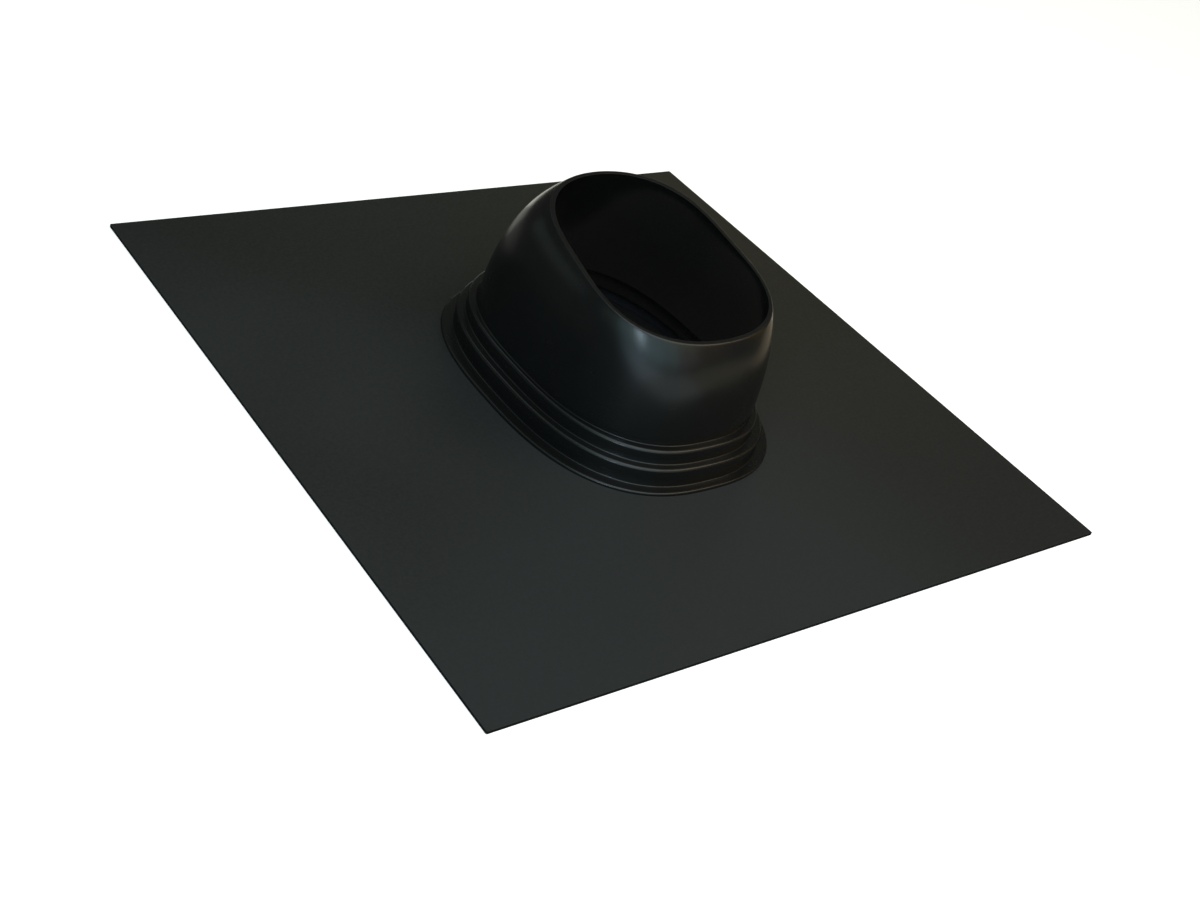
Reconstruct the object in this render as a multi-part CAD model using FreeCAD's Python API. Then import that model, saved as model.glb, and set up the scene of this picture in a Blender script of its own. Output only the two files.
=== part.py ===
import FreeCAD, Part
import math
import os
from FreeCAD import Vector

# Pipe flashing boot, in millimetres.
# A square, flexible roofing sheet carries a stiff moulded boot on its middle.
# The boot is a hollow oval dome on a stepped foot. Its top is sawn off on a
# slope, which leaves an oval mouth for a round pipe at any angle of the roof.
# Frame: origin at the centre of the sheet's underside, +Z up out of the
# weather side, +Y towards the high end of the mouth, +X to the right.

# ---- sheet -------------------------------------------------------------
SHEET_SIDE = 500.0        # square, edge to edge
SHEET_T = 2.0             # thickness
SHEET_CORNER_R = 1.0      # cut corners, barely eased
HOLE_A, HOLE_B = 66.0, 100.0          # half width and half length of the oval hole under the boot

# ---- boot: foot --------------------------------------------------------
WALL = 2.5                # wall thickness of the moulding
OVAL_N = 2.6              # exponent of the foot's oval: 2 is an ellipse
DOME_N = (2.61, -0.16)    # the dome's oval: squarer in front than at the back
FLANGE_A, FLANGE_B = 95.6, 125.0      # half width and half length of the flange
FLANGE_T = 2.2                        # flange thickness over the sheet
STEP2_A, STEP2_B = 87.1, 118.6        # lower step
STEP2_H = 15.4                        # its top, over the sheet
RECESS_H = 9.0                        # top of the recess under it, inside
STEP1_A, STEP1_B = 81.2, 113.0        # upper step
STEP1_H = 25.6                        # its top, over the sheet
DOME_A, DOME_B = 77.2, 107.0          # foot of the dome's wall
R_STEP = 2.0              # outside rounding of the steps
R_ROOT = 0.8              # rounding in the roots of the steps
R_FLANGE = 1.2            # rounding of the flange's top edge
R_INNER = 2.0             # rounding of the ledges on the inside

# ---- boot: mouth -------------------------------------------------------
RIM_TILT = 10.7           # slope of the mouth's plane, in degrees, up towards +Y
RIM_Z = 113.9             # height of the mouth's plane over the sheet at y = 0
RIM_V = -15.8             # centre of the mouth, measured along the slope
# outer edge of the mouth: radius against the angle from the high end,
# as a short cosine series, in the mouth's own plane
RIM_SERIES = (75.8, -2.47, 8.19, 0.9, -2.53, 0.2, -0.21)
# The shoulder follows a superellipse from the upright wall to the mouth.
# K is how far round it the mouth is cut (1 is its crown) and M its squareness,
# each as mean, front-to-back and side-to-end terms in the angle from the high end.
SHOULDER_K = (0.9025, 0.055, -0.0275)
SHOULDER_M = (2.52, -0.80, -0.50)

NPSI = 48                 # points round a section
TAN = math.tan(math.radians(RIM_TILT))
COS = math.cos(math.radians(RIM_TILT))
SIN = math.sin(math.radians(RIM_TILT))
Z_BASE = STEP1_H          # where the dome leaves the foot, over the sheet
PSI = [2.0 * math.pi * i / NPSI for i in range(NPSI)]


def oval_radius(psi, a, b, n=OVAL_N):
    s, c = abs(math.sin(psi)), abs(math.cos(psi))
    return ((s / a) ** n + (c / b) ** n) ** (-1.0 / n)


def oval_points(a, b, z):
    out = []
    for p in PSI:
        r = oval_radius(p, a, b)
        out.append(Vector(r * math.sin(p), r * math.cos(p), z))
    return out


def closed_wire(points):
    curve = Part.BSplineCurve()
    params = [float(i) for i in range(len(points) + 1)]
    curve.interpolate(Points=points, PeriodicFlag=True, Parameters=params)
    return Part.Wire([curve.toShape()])


def oval_prism(a, b, z0, z1):
    face = Part.Face(closed_wire(oval_points(a, b, z0)))
    return face.extrude(Vector(0, 0, z1 - z0))


def rim_point(psi):
    rho = sum(c * math.cos(k * psi) for k, c in enumerate(RIM_SERIES))
    v = RIM_V + rho * math.cos(psi)
    return (rho * math.sin(psi), v * COS)


def dome_xy(psi, s):
    """Plan position on the dome's outside: s is 0 at the foot, 1 at the mouth."""
    c1, c2 = math.cos(psi), math.cos(2 * psi)
    r = oval_radius(psi, DOME_A, DOME_B, DOME_N[0] + DOME_N[1] * c1)
    bx, by = r * math.sin(psi), r * math.cos(psi)
    tx, ty = rim_point(psi)
    m = SHOULDER_M[0] + SHOULDER_M[1] * c1 + SHOULDER_M[2] * c2
    k = SHOULDER_K[0] + SHOULDER_K[1] * c1 + SHOULDER_K[2] * c2
    if s <= 0.0:
        g = 0.0
    else:
        g = (1 - (1 - (k * s) ** m) ** (1 / m)) / (1 - (1 - k ** m) ** (1 / m))
    return bx + (tx - bx) * g, by + (ty - by) * g


def dome_z(s, y):
    return Z_BASE + s * ((RIM_Z - Z_BASE) + TAN * y)


def dome_point(psi, s):
    x, y = dome_xy(psi, s)
    return Vector(x, y, dome_z(s, y))


def inner_section(s_planes):
    """Sections of the inside skin, WALL away from the outside, in the same
    slanting planes."""
    dp, ds = 0.01, 0.004
    rows = [[] for _ in s_planes]
    for p in PSI:
        line = []
        s = -0.06
        while s < 1.0445:
            s0 = max(s, 0.0)
            pt = dome_point(p, s0)
            if s < 0.0:
                pt = Vector(pt.x, pt.y, dome_z(s, pt.y))
                tu = dome_point(p + dp, 0.0) - dome_point(p - dp, 0.0)
                nrm = Vector(tu.y, -tu.x, 0)
            else:
                tu = dome_point(p + dp, s) - dome_point(p - dp, s)
                tv = dome_point(p, s + ds) - dome_point(p, max(s - ds, 0.0))
                nrm = tv.cross(tu)
            nrm.normalize()
            if nrm.x * math.sin(p) + nrm.y * math.cos(p) < 0:
                nrm = nrm * -1.0
            q = pt - nrm * WALL
            sp = (q.z - Z_BASE) / ((RIM_Z - Z_BASE) + TAN * q.y)
            line.append((sp, q.x, q.y))
            s += 0.0105
        for j, sp in enumerate(s_planes):
            for (s1, x1, y1), (s2, x2, y2) in zip(line, line[1:]):
                if s1 <= sp <= s2:
                    f = (sp - s1) / (s2 - s1)
                    x, y = x1 + (x2 - x1) * f, y1 + (y2 - y1) * f
                    rows[j].append(Vector(x, y, dome_z(sp, y)))
                    break
            else:
                # past the mouth: carry on straight, this end is cut away
                (s1, x1, y1), (s2, x2, y2) = line[-3], line[-1]
                if not 0.0 < sp - s2 < 0.03:
                    raise ValueError("inside section %.3f, reached %.3f" % (sp, s2))
                f = (sp - s1) / (s2 - s1)
                x, y = x1 + (x2 - x1) * f, y1 + (y2 - y1) * f
                rows[j].append(Vector(x, y, dome_z(sp, y)))
    return rows


def lift(points, dz):
    return [Vector(q.x, q.y, q.z + dz) for q in points]


def loft(rows):
    return Part.makeLoft([closed_wire(r) for r in rows], True, False)


def edges_at(shape, z, tol=0.05):
    """Closed horizontal edges at a height."""
    out = []
    for e in shape.Edges:
        bb = e.BoundBox
        if abs(bb.ZMin - z) < tol and abs(bb.ZMax - z) < tol and bb.XLength > 20:
            out.append(e)
    return out


def near(edges, half_width):
    return [e for e in edges if abs(e.BoundBox.XMax - half_width) < 0.6]


# ---- the sheet ----------------------------------------------------------
h = SHEET_SIDE / 2
sheet = Part.makeBox(SHEET_SIDE, SHEET_SIDE, SHEET_T, Vector(-h, -h, 0))
corner = [e for e in sheet.Edges
          if e.BoundBox.ZLength > SHEET_T * 0.9 and e.BoundBox.XLength < 0.01
          and e.BoundBox.YLength < 0.01]
sheet = sheet.makeFillet(SHEET_CORNER_R, corner)
hole = oval_prism(HOLE_A, HOLE_B, -1.0, SHEET_T + 1.0)
sheet = sheet.cut(hole)

# ---- the boot, outside --------------------------------------------------
T = SHEET_T
flange = oval_prism(FLANGE_A, FLANGE_B, T, T + FLANGE_T)
step2 = oval_prism(STEP2_A, STEP2_B, T, T + STEP2_H)
step1 = oval_prism(STEP1_A, STEP1_B, T, T + STEP1_H)
S_OUT = [0.0, 0.15, 0.3, 0.45, 0.58, 0.7, 0.8, 0.88, 0.94, 1.0]
rows = [[dome_point(p, s) for p in PSI] for s in S_OUT]
dome = loft([lift(r, T) for r in rows])
outer = flange.fuse(step2).fuse(step1)
outer = outer.removeSplitter()
# roundings of the steps, before the dome is joined
sel = near(edges_at(outer, T + STEP2_H), STEP2_A) + near(edges_at(outer, T + STEP1_H), STEP1_A)
outer = outer.makeFillet(R_STEP, sel)
sel = near(edges_at(outer, T + FLANGE_T), FLANGE_A)
outer = outer.makeFillet(R_FLANGE, sel)
sel = near(edges_at(outer, T + FLANGE_T), STEP2_A) + near(edges_at(outer, T + STEP2_H), STEP1_A)
outer = outer.makeFillet(R_ROOT, sel)
outer = outer.fuse(dome).removeSplitter()
sel = near(edges_at(outer, T + STEP1_H), DOME_A)
outer = outer.makeFillet(R_ROOT, sel)

# ---- the boot, inside ---------------------------------------------------
in2 = oval_prism(STEP2_A - WALL, STEP2_B - WALL, T - 3.0, T + RECESS_H)
in1 = oval_prism(STEP1_A - WALL, STEP1_B - WALL, T - 3.0, T + STEP1_H - WALL)
S_IN = [-0.045, 0.0, 0.15, 0.3, 0.45, 0.58, 0.7, 0.8, 0.88, 0.94, 0.985, 1.012]
irows = inner_section(S_IN)
cavity = loft([lift(r, T) for r in irows])
inner = in2.fuse(in1).removeSplitter()
inner = inner.fuse(cavity).removeSplitter()
for z, a in ((T + RECESS_H, STEP1_A - WALL), (T + STEP1_H - WALL, DOME_A - WALL)):
    sel = near(edges_at(inner, z), a)
    inner = inner.makeFillet(R_INNER, sel)

boot = outer.cut(inner)

# ---- output ----------------------------------------------------------------
os.makedirs("parts", exist_ok=True)
for name, shape in (("flashing_sheet", sheet), ("boot", boot)):
    solids = shape.Solids
    print(name, "solids", len(solids), "valid", shape.isValid(),
          "volume cm3 %.1f" % (shape.Volume / 1000.0), shape.BoundBox)
    solids[0].exportStep("parts/%s.step" % name)
print("overlap mm3", sheet.common(boot).Volume, "gap mm", sheet.distToShape(boot)[0])
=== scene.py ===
import bpy
import math
import numpy as np
from mathutils import Matrix, Vector


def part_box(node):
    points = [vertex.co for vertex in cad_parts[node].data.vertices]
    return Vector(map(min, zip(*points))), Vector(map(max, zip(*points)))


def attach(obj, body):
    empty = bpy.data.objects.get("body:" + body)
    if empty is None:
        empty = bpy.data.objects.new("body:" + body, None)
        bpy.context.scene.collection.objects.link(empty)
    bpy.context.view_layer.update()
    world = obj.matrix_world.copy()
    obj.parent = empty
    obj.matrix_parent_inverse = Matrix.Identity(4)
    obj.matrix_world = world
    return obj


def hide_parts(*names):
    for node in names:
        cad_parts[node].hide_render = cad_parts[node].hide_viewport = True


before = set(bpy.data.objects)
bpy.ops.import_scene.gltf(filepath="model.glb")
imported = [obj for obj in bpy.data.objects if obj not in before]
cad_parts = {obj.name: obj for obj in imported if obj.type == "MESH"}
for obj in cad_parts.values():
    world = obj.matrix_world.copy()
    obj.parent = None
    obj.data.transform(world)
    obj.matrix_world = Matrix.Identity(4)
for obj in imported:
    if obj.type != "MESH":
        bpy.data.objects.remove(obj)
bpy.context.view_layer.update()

MM = 0.001

# ------------------------------------------------------------------ the boot's form, as in the CAD
WALL = 2.5
OVAL_N = 2.6
FLANGE_A, FLANGE_B, FLANGE_T = 95.6, 125.0, 2.2
STEP2_A, STEP2_B, STEP2_H = 87.1, 118.6, 15.4
STEP1_A, STEP1_B, STEP1_H = 81.2, 113.0, 25.6
DOME_A, DOME_B = 77.2, 107.0
DOME_N = (2.61, -0.16)
R_STEP, R_ROOT, R_FLANGE, R_INNER = 2.0, 0.6, 1.2, 2.0
RECESS_H = 9.0                         # height of the lower recess inside
RIM_TILT, RIM_Z, RIM_V = 10.7, 113.9, -15.8
RIM_SERIES = (75.8, -2.47, 8.19, 0.9, -2.53, 0.2, -0.21)
SHOULDER_K = (0.9025, 0.055, -0.0275)
SHOULDER_M = (2.52, -0.80, -0.50)
RIM_EASE = (0.35, 1.1, 0.45)           # easing of the sawn edge: outer corner at the back and left, at the front and right, inner
TAN = math.tan(math.radians(RIM_TILT))
COS = math.cos(math.radians(RIM_TILT))
SIN = math.sin(math.radians(RIM_TILT))
Z_BASE = STEP1_H

lo_s, hi_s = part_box("flashing_sheet")
lo_b, hi_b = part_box("boot")
TOP = hi_s.z / MM                      # the sheet's upper face, where the boot stands

N = 384
PSI = np.linspace(0, 2 * math.pi, N, endpoint=False)
SN, CS = np.sin(PSI), np.cos(PSI)


def oval(a, b, n=OVAL_N):
    r = (np.abs(SN / a) ** n + np.abs(CS / b) ** n) ** (-1 / n)
    return np.stack([r * SN, r * CS], 1)


def normals_of(P):
    t = np.roll(P, -1, 0) - np.roll(P, 1, 0)
    n = np.stack([-t[:, 1], t[:, 0]], 1)
    n /= np.linalg.norm(n, axis=1)[:, None]
    n *= np.sign((n * P).sum(1))[:, None]
    return n


def ring(a, b, d, z):
    """The oval a x b moved out by d along its own normal, at height z over the sheet."""
    P = oval(a, b)
    P = P + normals_of(P) * d
    return np.c_[P, np.full(len(P), z)]


def rim_xy():
    rho = sum(c * np.cos(k * PSI) for k, c in enumerate(RIM_SERIES))
    return np.stack([rho * SN, (RIM_V + rho * CS) * COS], 1)


CS2 = np.cos(2 * PSI)
BASE = oval(DOME_A, DOME_B, DOME_N[0] + DOME_N[1] * CS)
RIM = rim_xy()


def dome_ring(s):
    m = SHOULDER_M[0] + SHOULDER_M[1] * CS + SHOULDER_M[2] * CS2
    k = SHOULDER_K[0] + SHOULDER_K[1] * CS + SHOULDER_K[2] * CS2
    if s <= 0:
        g = np.zeros(N)
    else:
        g = (1 - (1 - (k * s) ** m) ** (1 / m)) / (1 - (1 - k ** m) ** (1 / m))
    P = BASE * (1 - g[:, None]) + RIM * g[:, None]
    z = Z_BASE + s * ((RIM_Z - Z_BASE) + TAN * P[:, 1])
    return np.c_[P, z]


def dome_normal(s, ds=0.002):
    a, b = dome_ring(max(s - ds, 0.0)), dome_ring(s + ds)
    tv = b - a
    c = dome_ring(s)
    tu = np.roll(c, -1, 0) - np.roll(c, 1, 0)
    n = np.cross(tv, tu)
    n /= np.linalg.norm(n, axis=1)[:, None]
    out = np.c_[SN, CS, np.zeros(N)]
    n *= np.sign((n * out).sum(1))[:, None]
    return n


def arc(n, a0, a1):
    return [math.radians(a0 + (a1 - a0) * i / n) for i in range(n + 1)]


def rounded(before, corner, after, n=4):
    """Rings that take a corner with a small round: from before, past corner, to after."""
    out = []
    for i in range(n + 1):
        u = i / n
        out.append(before * (1 - u) ** 2 + corner * (2 * u * (1 - u)) + after * u ** 2)
    return out


def build_boot():
    rings = []
    add = rings.append
    # outside, from the flange's lower edge up
    add(ring(FLANGE_A, FLANGE_B, 0.0, 0.0))
    add(ring(FLANGE_A, FLANGE_B, 0.0, 0.5 * (FLANGE_T - R_FLANGE)))
    for t in arc(6, 0, 90):
        add(ring(FLANGE_A, FLANGE_B, -R_FLANGE + R_FLANGE * math.cos(t), FLANGE_T - R_FLANGE + R_FLANGE * math.sin(t)))
    add(ring(STEP2_A, STEP2_B, 4.2, FLANGE_T))

    def step(a, b, z0, z1):
        for t in arc(6, 270, 180):
            add(ring(a, b, R_ROOT + R_ROOT * math.cos(t), z0 + R_ROOT + R_ROOT * math.sin(t)))
        for f in (0.33, 0.66):
            add(ring(a, b, 0.0, z0 + R_ROOT + (z1 - R_STEP - z0 - R_ROOT) * f))
        for t in arc(9, 0, 90):
            add(ring(a, b, -R_STEP + R_STEP * math.cos(t), z1 - R_STEP + R_STEP * math.sin(t)))

    step(STEP2_A, STEP2_B, FLANGE_T, STEP2_H)
    step(STEP1_A, STEP1_B, STEP2_H, STEP1_H)
    for t in arc(6, 270, 180):
        add(ring(DOME_A, DOME_B, R_ROOT + R_ROOT * math.cos(t), STEP1_H + R_ROOT + R_ROOT * math.sin(t)))
    S = [0.04, 0.08, 0.13, 0.18, 0.24, 0.3, 0.36, 0.42, 0.48, 0.54, 0.6, 0.65, 0.7, 0.74, 0.78, 0.815, 0.85, 0.88,
         0.905, 0.93, 0.95, 0.967, 0.98]
    for s in S:
        add(dome_ring(s))
    # the mouth's sawn edge, across the wall in the mouth's own plane, with its two corners just eased
    R = dome_ring(1.0)
    nrm = dome_normal(0.995)
    plane_n = np.array([0, -SIN, COS])
    inw = -(nrm - (nrm @ plane_n)[:, None] * plane_n)
    L = np.linalg.norm(inw, axis=1)
    inw /= L[:, None]
    wide = (WALL / np.clip(L, 0.55, 1.0))[:, None]
    up = dome_ring(1.0) - dome_ring(0.99)
    up /= np.linalg.norm(up, axis=1)[:, None]
    w = np.clip((0.5 * SN - 0.85 * CS + 0.3) / 0.9, 0, 1)
    e = (RIM_EASE[0] + (RIM_EASE[1] - RIM_EASE[0]) * w * w * (3 - 2 * w))[:, None]
    for P in rounded(R - up * e, R, R + inw * e, 6):
        add(P)
    add(R + inw * wide * 0.6)
    e = RIM_EASE[2]
    Ri = R + inw * wide
    for P in rounded(Ri - inw * e, Ri, Ri - up * e):
        add(P)
    # inside, down again: the outside moved in by the wall
    inner = [dome_ring(s) - dome_normal(s) * WALL for s in reversed(S)]
    low = (rings[-1] - R) @ plane_n
    for P in inner:
        h = (P - R) @ plane_n
        assert h.max() < low.max() - 0.2, (h.max(), low.max())
        add(P)
    zi1 = STEP1_H - WALL
    zi2 = RECESS_H
    for t in arc(7, 0, 90):
        # rounded ledge: leaves the wall and turns outwards
        add(ring(DOME_A - WALL, DOME_B - WALL, R_INNER * (1 - math.cos(t)), zi1 + R_INNER * (1 - math.sin(t))))
    add(ring(STEP1_A - WALL, STEP1_B - WALL, -0.25, zi1))
    add(ring(STEP1_A - WALL, STEP1_B - WALL, 0.0, zi1 - 0.25))
    add(ring(STEP1_A - WALL, STEP1_B - WALL, 0.0, zi2 + R_INNER + 1.5))
    for t in arc(7, 0, 90):
        add(ring(STEP1_A - WALL, STEP1_B - WALL, R_INNER * (1 - math.cos(t)), zi2 + R_INNER * (1 - math.sin(t))))
    add(ring(STEP2_A - WALL, STEP2_B - WALL, -0.25, zi2))
    add(ring(STEP2_A - WALL, STEP2_B - WALL, 0.0, zi2 - 0.25))
    add(ring(STEP2_A - WALL, STEP2_B - WALL, 0.0, zi2 * 0.5))
    i_foot = len(rings)
    add(ring(STEP2_A - WALL, STEP2_B - WALL, 0.0, 0.0))
    add(ring(FLANGE_A, FLANGE_B, -5.0, 0.0))

    V = np.concatenate(rings) * MM
    V[:, 2] += TOP * MM
    nr = len(rings)
    faces = []
    for i in range(nr):
        j = (i + 1) % nr
        a = np.arange(N)
        b = (a + 1) % N
        q = np.stack([i * N + a, i * N + b, j * N + b, j * N + a], 1)
        faces.append(q)
    F = np.concatenate(faces)
    me = bpy.data.meshes.new("boot_shell")
    me.from_pydata(V.tolist(), [], F[:, ::-1].tolist())
    me.update()
    ob = bpy.data.objects.new("boot_shell", me)
    bpy.context.scene.collection.objects.link(ob)
    me.polygons.foreach_set("use_smooth", np.ones(len(me.polygons), bool))
    # sharp rings: the foot's outer and inner edges
    sharp = {0, i_foot}
    ev = np.zeros(len(me.edges) * 2, int)
    me.edges.foreach_get("vertices", ev)
    ev = ev.reshape(-1, 2)
    same = (ev[:, 0] // N) == (ev[:, 1] // N)
    flag = same & np.isin(ev[:, 0] // N, list(sharp))
    at = me.attributes.new("sharp_edge", 'BOOLEAN', 'EDGE')
    at.data.foreach_set("value", flag)
    me.validate()
    return ob


boot = build_boot()


# ------------------------------------------------------------------ materials
def new_mat(name):
    m = bpy.data.materials.new(name)
    m.use_nodes = True
    nt = m.node_tree
    nt.nodes.clear()
    return m, nt


def node(nt, kind, **kw):
    n = nt.nodes.new(kind)
    for k, v in kw.items():
        if k.startswith("i_"):
            n.inputs[k[2:].replace("_", " ")].default_value = v
        else:
            setattr(n, k, v)
    return n


def link(nt, a, b):
    nt.links.new(a, b)


def noise(nt, vec, scale, detail=2.0, rough=0.5, distort=0.0):
    n = nt.nodes.new("ShaderNodeTexNoise")
    n.inputs["Scale"].default_value = scale
    n.inputs["Detail"].default_value = detail
    n.inputs["Roughness"].default_value = rough
    n.inputs["Distortion"].default_value = distort
    link(nt, vec, n.inputs["Vector"])
    return n.outputs["Fac"]


def remap(nt, value, f0, f1, t0, t1, smooth=False):
    n = nt.nodes.new("ShaderNodeMapRange")
    if smooth:
        n.interpolation_type = 'SMOOTHSTEP'
    for k, v in (("From Min", f0), ("From Max", f1), ("To Min", t0), ("To Max", t1)):
        n.inputs[k].default_value = v
    link(nt, value, n.inputs["Value"])
    return n.outputs["Result"]


def maths(nt, op, a, b=None):
    n = nt.nodes.new("ShaderNodeMath")
    n.operation = op
    for i, v in enumerate((a, b)):
        if v is None:
            continue
        if isinstance(v, (int, float)):
            n.inputs[i].default_value = v
        else:
            link(nt, v, n.inputs[i])
    return n.outputs[0]


def mix_colour(nt, fac, c0, c1):
    n = nt.nodes.new("ShaderNodeMix")
    n.data_type = 'RGBA'
    for i, v in ((0, fac), (6, c0), (7, c1)):
        if isinstance(v, tuple):
            n.inputs[i].default_value = (*v, 1.0)
        else:
            link(nt, v, n.inputs[i])
    return n.outputs[2]


def stretch(nt, vec, sx, sy, sz, rz=0.0):
    n = nt.nodes.new("ShaderNodeMapping")
    n.inputs["Scale"].default_value = (sx, sy, sz)
    n.inputs["Rotation"].default_value = (0, 0, rz)
    link(nt, vec, n.inputs["Vector"])
    return n.outputs["Vector"]


def bump(nt, height, distance, strength, below=None):
    n = nt.nodes.new("ShaderNodeBump")
    n.inputs["Strength"].default_value = strength
    n.inputs["Distance"].default_value = distance
    link(nt, height, n.inputs["Height"])
    if below is not None:
        link(nt, below, n.inputs["Normal"])
    return n.outputs["Normal"]


def base(name):
    m, nt = new_mat(name)
    out = nt.nodes.new("ShaderNodeOutputMaterial")
    b = nt.nodes.new("ShaderNodeBsdfPrincipled")
    tc = nt.nodes.new("ShaderNodeTexCoord")
    link(nt, b.outputs["BSDF"], out.inputs["Surface"])
    return m, nt, b, tc.outputs["Object"]


def make_boot_mat():
    """Moulded black polymer: semi-gloss, with a faint moulded skin, rubbed edges and a sawn mouth."""
    m, nt, b, P = base("boot_moulded_black")
    b.inputs["IOR"].default_value = 1.5
    geo = nt.nodes.new("ShaderNodeNewGeometry")
    sep = nt.nodes.new("ShaderNodeSeparateXYZ")
    link(nt, P, sep.inputs[0])
    # how far a point lies under the mouth's plane, in metres
    zz = maths(nt, 'MULTIPLY', maths(nt, 'SUBTRACT', sep.outputs["Z"], (TOP + RIM_Z) * MM), COS)
    depth = maths(nt, 'SUBTRACT', zz, maths(nt, 'MULTIPLY', sep.outputs["Y"], SIN))
    sawn = remap(nt, depth, -0.00030, -0.00006, 0.0, 1.0, True)
    # tone: broad clouding, and pale dust that settles on what faces up
    cloud = noise(nt, P, 14.0, 3.0, 0.55)
    col = mix_colour(nt, remap(nt, cloud, 0.3, 0.7, 0.0, 1.0), (0.0052, 0.0054, 0.0056), (0.0074, 0.0074, 0.0074))
    nsep = nt.nodes.new("ShaderNodeSeparateXYZ")
    link(nt, geo.outputs["Normal"], nsep.inputs[0])
    up = remap(nt, nsep.outputs["Z"], 0.75, 1.0, 0.0, 1.0, True)
    specks = remap(nt, noise(nt, P, 900.0, 3.0, 0.7), 0.58, 0.74, 0.0, 1.0)
    dust = maths(nt, 'MULTIPLY', maths(nt, 'MULTIPLY', up, specks), 0.10)
    col = mix_colour(nt, dust, col, (0.030, 0.029, 0.027))
    col = mix_colour(nt, maths(nt, 'MULTIPLY', sawn, 0.8), col, (0.0070, 0.0070, 0.0072))
    # painted reflection: a pale bluish tone painted low down inside the foot, where the wall faces the middle,
    # standing in for the pale floor under the hole mirrored in the glossy wall
    facing = maths(nt, 'ADD', maths(nt, 'MULTIPLY', nsep.outputs["X"], sep.outputs["X"]),
                   maths(nt, 'MULTIPLY', nsep.outputs["Y"], sep.outputs["Y"]))
    inside = remap(nt, facing, -0.020, -0.005, 1.0, 0.0)
    foot = remap(nt, sep.outputs["Z"], (TOP + RECESS_H - 1.0) * MM, (TOP + RECESS_H + 1.5) * MM, 1.0, 0.0)
    painted_reflection = maths(nt, 'MULTIPLY', maths(nt, 'MULTIPLY', inside, foot), remap(nt, cloud, 0.3, 0.7, 0.8, 1.0))
    col = mix_colour(nt, painted_reflection, col, (0.044, 0.047, 0.054))
    link(nt, col, b.inputs["Base Color"])
    # gloss: soft variation, hair scuffs that run round the form, a duller sawn face
    r0 = remap(nt, noise(nt, P, 22.0, 2.0, 0.5), 0.25, 0.75, BOOT_R - 0.02, BOOT_R + 0.03)
    hair = remap(nt, noise(nt, stretch(nt, P, 60.0, 60.0, 1500.0), 1.0, 2.0, 0.6), 0.60, 0.72, 0.0, 0.012)
    rub = remap(nt, noise(nt, P, 55.0, 4.0, 0.65, 0.4), 0.62, 0.75, 0.0, 0.05)
    r = maths(nt, 'ADD', maths(nt, 'ADD', r0, hair), rub)
    r = maths(nt, 'ADD', r, maths(nt, 'MULTIPLY', dust, 0.25))
    r = maths(nt, 'ADD', r, maths(nt, 'MULTIPLY', sawn, 0.12))
    link(nt, r, b.inputs["Roughness"])
    # relief: moulded skin, slight sink of the wall, saw marks across the mouth's edge
    n0 = bump(nt, noise(nt, P, 26.0, 1.0, 0.4), 0.0004, 0.10)
    n1 = bump(nt, noise(nt, P, 1500.0, 2.0, 0.5), 0.00006, 0.16, n0)
    marks = noise(nt, stretch(nt, P, 120.0, 2600.0, 120.0, 0.5), 1.0, 2.0, 0.6)
    n2 = bump(nt, maths(nt, 'MULTIPLY', marks, sawn), 0.00012, 0.5, n1)
    link(nt, n2, b.inputs["Normal"])
    return m


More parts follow.
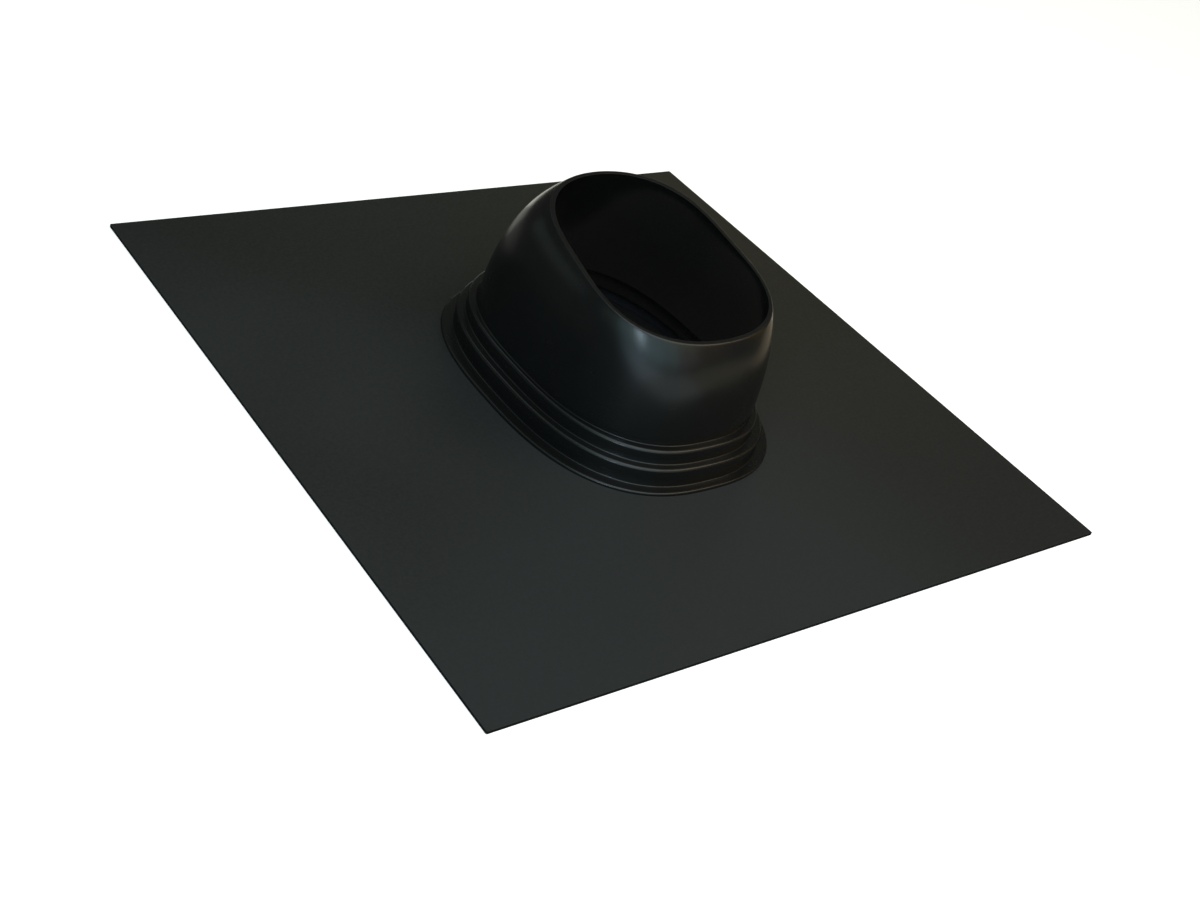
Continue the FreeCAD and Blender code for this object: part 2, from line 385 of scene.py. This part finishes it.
def make_sheet_mat():
    """Flexible black sheet: satin calendered skin, slight pale mottle and scuffs, matt cut edges, with painted light
    and shade: lighter at the front and right, darker at the back and over the back-right quarter.
    """
    m, nt, b, P = base("sheet_satin_black")
    b.inputs["IOR"].default_value = 1.5
    b.inputs["Specular IOR Level"].default_value = SHEET_SPEC
    geo = nt.nodes.new("ShaderNodeNewGeometry")
    nsep = nt.nodes.new("ShaderNodeSeparateXYZ")
    link(nt, geo.outputs["Normal"], nsep.inputs[0])
    cut = remap(nt, maths(nt, 'ABSOLUTE', nsep.outputs["Z"]), 0.3, 0.8, 1.0, 0.0, True)
    broad = noise(nt, P, 3.2, 2.0, 0.5)
    sep = nt.nodes.new("ShaderNodeSeparateXYZ")
    link(nt, P, sep.inputs[0])
    # painted light and shade: the colour runs from a dark back to a light front, is lighter on the right and darker
    # over the back-right quarter, as the light falls across the sheet
    along = maths(nt, 'ADD', maths(nt, 'MULTIPLY', sep.outputs["Y"], -2.0), maths(nt, 'MULTIPLY', remap(nt, broad, 0.3, 0.7, -0.5, 0.5), 0.7))
    tone = remap(nt, along, -0.5, 0.5, 0.0, 1.0, True)
    col = mix_colour(nt, tone, SHEET_SHADED_BACK, SHEET_LIT_FRONT)
    col = mix_colour(nt, remap(nt, sep.outputs["X"], 0.02, 0.20, 0.0, 1.0, True), col, SHEET_LIT_RIGHT)
    corner = maths(nt, 'MULTIPLY', remap(nt, sep.outputs["X"], 0.0, 0.12, 0.0, 1.0, True), remap(nt, sep.outputs["Y"], -0.08, 0.14, 0.0, 1.0, True))
    col = mix_colour(nt, maths(nt, 'MULTIPLY', corner, 0.85), col, SHEET_SHADED_CORNER)
    grainy = noise(nt, P, 420.0, 3.0, 0.6)
    col = mix_colour(nt, remap(nt, grainy, 0.35, 0.75, 0.0, 0.35), col, tuple(1.35 * c for c in SHEET_LIT_FRONT))
    specks = remap(nt, noise(nt, P, 1300.0, 2.0, 0.6), 0.70, 0.78, 0.0, 0.45)
    col = mix_colour(nt, specks, col, (0.070, 0.070, 0.068))
    col = mix_colour(nt, cut, col, (0.006, 0.006, 0.006))
    link(nt, col, b.inputs["Base Color"])
    r0 = remap(nt, noise(nt, P, 7.0, 3.0, 0.55), 0.25, 0.75, SHEET_R - 0.04, SHEET_R + 0.04)
    wipe = remap(nt, noise(nt, stretch(nt, P, 9.0, 70.0, 9.0, 0.35), 1.0, 3.0, 0.6), 0.5, 0.75, 0.0, 0.02)
    r = maths(nt, 'ADD', maths(nt, 'ADD', r0, wipe), maths(nt, 'MULTIPLY', cut, 0.35))
    link(nt, r, b.inputs["Roughness"])
    n0 = bump(nt, noise(nt, P, 5.0, 1.0, 0.4), 0.0022, 0.22)
    n1 = bump(nt, noise(nt, P, 1100.0, 3.0, 0.6), 0.00009, 0.30, n0)
    link(nt, n1, b.inputs["Normal"])
    return m


BOOT_R = 0.24
SHEET_R = 0.5
SHEET_SPEC = 0.18
# the sheet's colours carry painted light and shade: a lit front and right side, a shaded back and back-right quarter
SHEET_SHADED_BACK = (0.0157, 0.0160, 0.0148)
SHEET_LIT_FRONT = (0.0322, 0.0337, 0.0346)
SHEET_LIT_RIGHT = (0.0245, 0.0238, 0.0222)
SHEET_SHADED_CORNER = (0.0145, 0.0140, 0.0128)

boot_mat = make_boot_mat()
sheet_mat = make_sheet_mat()
boot.data.materials.append(boot_mat)
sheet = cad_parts["flashing_sheet"]
for s in sheet.material_slots:
    s.material = sheet_mat

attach(boot, "root")
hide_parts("boot")

# ------------------------------------------------------------------ floor, light, camera
scene = bpy.context.scene


# A dome of soft panels round the object. Each row: elevation, panel width and height in metres, then azimuth and
# the radiance (r, g, b) of each panel.
PANELS = [
    (8, 0.87, 0.70, [
        (40, 0.98, 0.84, 0.48),
        (60, 0.52, 0.67, 0.48),
        (120, 0.11, 0.15, 0.14),
        (140, 0.13, 0.17, 0.15),
        (180, 0.15, 0.22, 0.19),
        (200, 0.59, 0.95, 1.00),
        (220, 0.76, 1.21, 1.43),
        (240, 0.74, 1.18, 1.32),
        (260, 0.58, 0.82, 0.85),
        (280, 0.44, 0.41, 0.37),
        (300, 0.19, 0.12, 0.08),
        (340, 0.23, 0.13, 0.00),
    ]),
    (27, 0.78, 0.96, [
        (200, 0.35, 0.54, 0.46),
        (220, 0.55, 0.81, 0.92),
        (240, 0.76, 1.08, 1.19),
        (260, 0.81, 1.08, 1.01),
        (280, 0.70, 0.71, 0.50),
        (300, 0.55, 0.39, 0.15),
        (320, 0.39, 0.19, 0.00),
        (340, 0.31, 0.18, 0.03),
    ]),
    (49, 0.86, 0.96, [
        (100, 0.50, 0.60, 0.57),
        (150, 0.22, 0.27, 0.24),
        (180, 0.45, 0.60, 0.62),
        (210, 1.69, 1.96, 2.30),
        (240, 1.95, 2.17, 2.49),
        (270, 1.72, 1.85, 1.79),
        (300, 1.49, 1.41, 1.14),
        (328, 2.30, 2.05, 1.55),
    ]),
    (71, 0.85, 0.96, [
        (120, 0.18, 0.36, 0.30),
        (180, 0.50, 0.65, 0.66),
        (240, 1.10, 1.25, 1.25),
        (300, 1.55, 1.58, 1.34),
    ]),
    (90, 0.80, 0.80, [
        (0, 1.50, 1.70, 1.60),
    ]),
    # the small bright window that glints under the mouth's low end
    (12, 0.42, 0.30, [
        (219, 9.00, 11.30, 12.40),
    ]),
]
# Soft cards lying on the floor round the sheet: x0, x1, y0, y1 and radiance.
CARDS = [
    (-1.00, -0.60, -0.90, -0.26, (0.85, 1.32, 1.55)),
    (-0.60, -0.25, -0.90, -0.26, (0.98, 1.22, 1.44)),
    (-0.25, 0.10, -0.90, -0.26, (0.52, 0.59, 0.58)),
    (0.10, 0.45, -0.90, -0.26, (0.36, 0.33, 0.23)),
    (0.26, 0.90, -0.26, 0.00, (0.38, 0.31, 0.20)),
    (0.26, 0.60, 0.00, 0.26, (0.60, 0.54, 0.42)),
    (-0.15, -0.03, 0.28, 0.60, (0.10, 0.10, 0.09)),
    (-0.02, 0.08, 0.28, 0.60, (0.36, 0.36, 0.32)),
    (0.08, 0.45, 0.28, 0.60, (0.95, 0.95, 0.84)),
]
FLOOR_GLOW = 0.62


def stage_plane(name, rects, z, colour, rough, glow):
    """A flat piece of the stage made of rectangles; glow is how far each one lights itself."""
    me = bpy.data.meshes.new(name)
    verts, faces = [], []
    for x0, x1, y0, y1 in rects:
        i = len(verts)
        verts += [(x0, y0, 0), (x1, y0, 0), (x1, y1, 0), (x0, y1, 0)]
        faces.append((i, i + 1, i + 2, i + 3))
    me.from_pydata(verts, [], faces)
    o = bpy.data.objects.new(name, me)
    scene.collection.objects.link(o)
    o.location = (0, 0, z)
    mt = bpy.data.materials.new(name)
    mt.use_nodes = True
    bs = mt.node_tree.nodes["Principled BSDF"]
    bs.inputs["Base Color"].default_value = colour
    bs.inputs["Roughness"].default_value = rough
    bs.inputs["Specular IOR Level"].default_value = 0.2
    bs.inputs["Emission Color"].default_value = (1, 1, 1, 1)
    bs.inputs["Emission Strength"].default_value = glow
    me.materials.append(mt)
    return o


def seen_by(o, camera=False, diffuse=False, glossy=False, shadow=False):
    o.visible_camera = camera
    o.visible_diffuse = diffuse
    o.visible_glossy = glossy
    o.visible_transmission = False
    o.visible_shadow = shadow


WHITE = (0.93, 0.93, 0.93, 1)
H, E = 0.249, 6.0
AROUND = [(-E, -H, -E, E), (H, E, -E, E), (-H, H, -E, -H), (-H, H, H, E)]
# the pale table: lit like a light table where it shows, plain under the sheet
floor = stage_plane("floor", AROUND, -0.0004, WHITE, 0.7, FLOOR_GLOW)
floor_in = stage_plane("floor_under", [(-H, H, -H, H)], -0.0004, WHITE, 0.7, 0.0)
floor_b = stage_plane("floor_bounce", [(-E, E, -E, E)], -0.0012, WHITE, 0.7, 0.0)
seen_by(floor, camera=True)
seen_by(floor_in, camera=True)
seen_by(floor_b, diffuse=True)

world = bpy.data.worlds.new("soft_fill")
scene.world = world
world.use_nodes = True
bg = world.node_tree.nodes["Background"]
bg.inputs["Color"].default_value = (1.0, 1.0, 0.9, 1)
bg.inputs["Strength"].default_value = 0.05


def panel(name, loc, aim, w, h, rgb):
    top = max(rgb)
    d = bpy.data.lights.new(name, 'AREA')
    d.shape = 'RECTANGLE'
    d.size = w
    d.size_y = h
    d.energy = w * h * math.pi * top
    d.color = tuple(c / top for c in rgb)
    o = bpy.data.objects.new(name, d)
    scene.collection.objects.link(o)
    o.location = loc
    o.rotation_euler = (Vector(aim) - Vector(loc)).to_track_quat('-Z', 'Y').to_euler()
    o.visible_camera = False
    return o


for el, w, h, row in PANELS:
    for az, *rgb in row:
        e, a = math.radians(el), math.radians(az)
        loc = Vector((0, 0, 0.05)) + Vector((math.cos(e) * math.cos(a), math.cos(e) * math.sin(a), math.sin(e))) * 2.5
        panel("panel_%02d_%03d" % (el, az), loc, (0, 0, 0.05), w, h, rgb)
for i, (x0, x1, y0, y1, rgb) in enumerate(CARDS):
    cx, cy = (x0 + x1) / 2, (y0 + y1) / 2
    o = panel("card_%d" % i, (cx, cy, 0.0008), (cx, cy, 1.0), x1 - x0, y1 - y0, rgb)
    o.rotation_euler = (math.pi, 0, 0)

cam_data = bpy.data.cameras.new("camera")
cam_data.sensor_width = 36.0
cam_data.sensor_fit = 'HORIZONTAL'
cam_data.lens = 48.8158
cam_data.clip_start = 0.05
cam_data.clip_end = 50
cam = bpy.data.objects.new("camera", cam_data)
scene.collection.objects.link(cam)
cam.matrix_world = Matrix((
    (0.7921542, 0.1727352, -0.5853667, -0.663315),
    (-0.5571537, 0.5961905, -0.5780455, -0.674136),
    (0.2491413, 0.7840405, 0.5685149, 0.598177),
    (0, 0, 0, 1)))
scene.camera = cam

scene.view_settings.view_transform = 'Standard'
scene.view_settings.look = 'None'
scene.view_settings.exposure = 0.0
scene.view_settings.gamma = 1.0
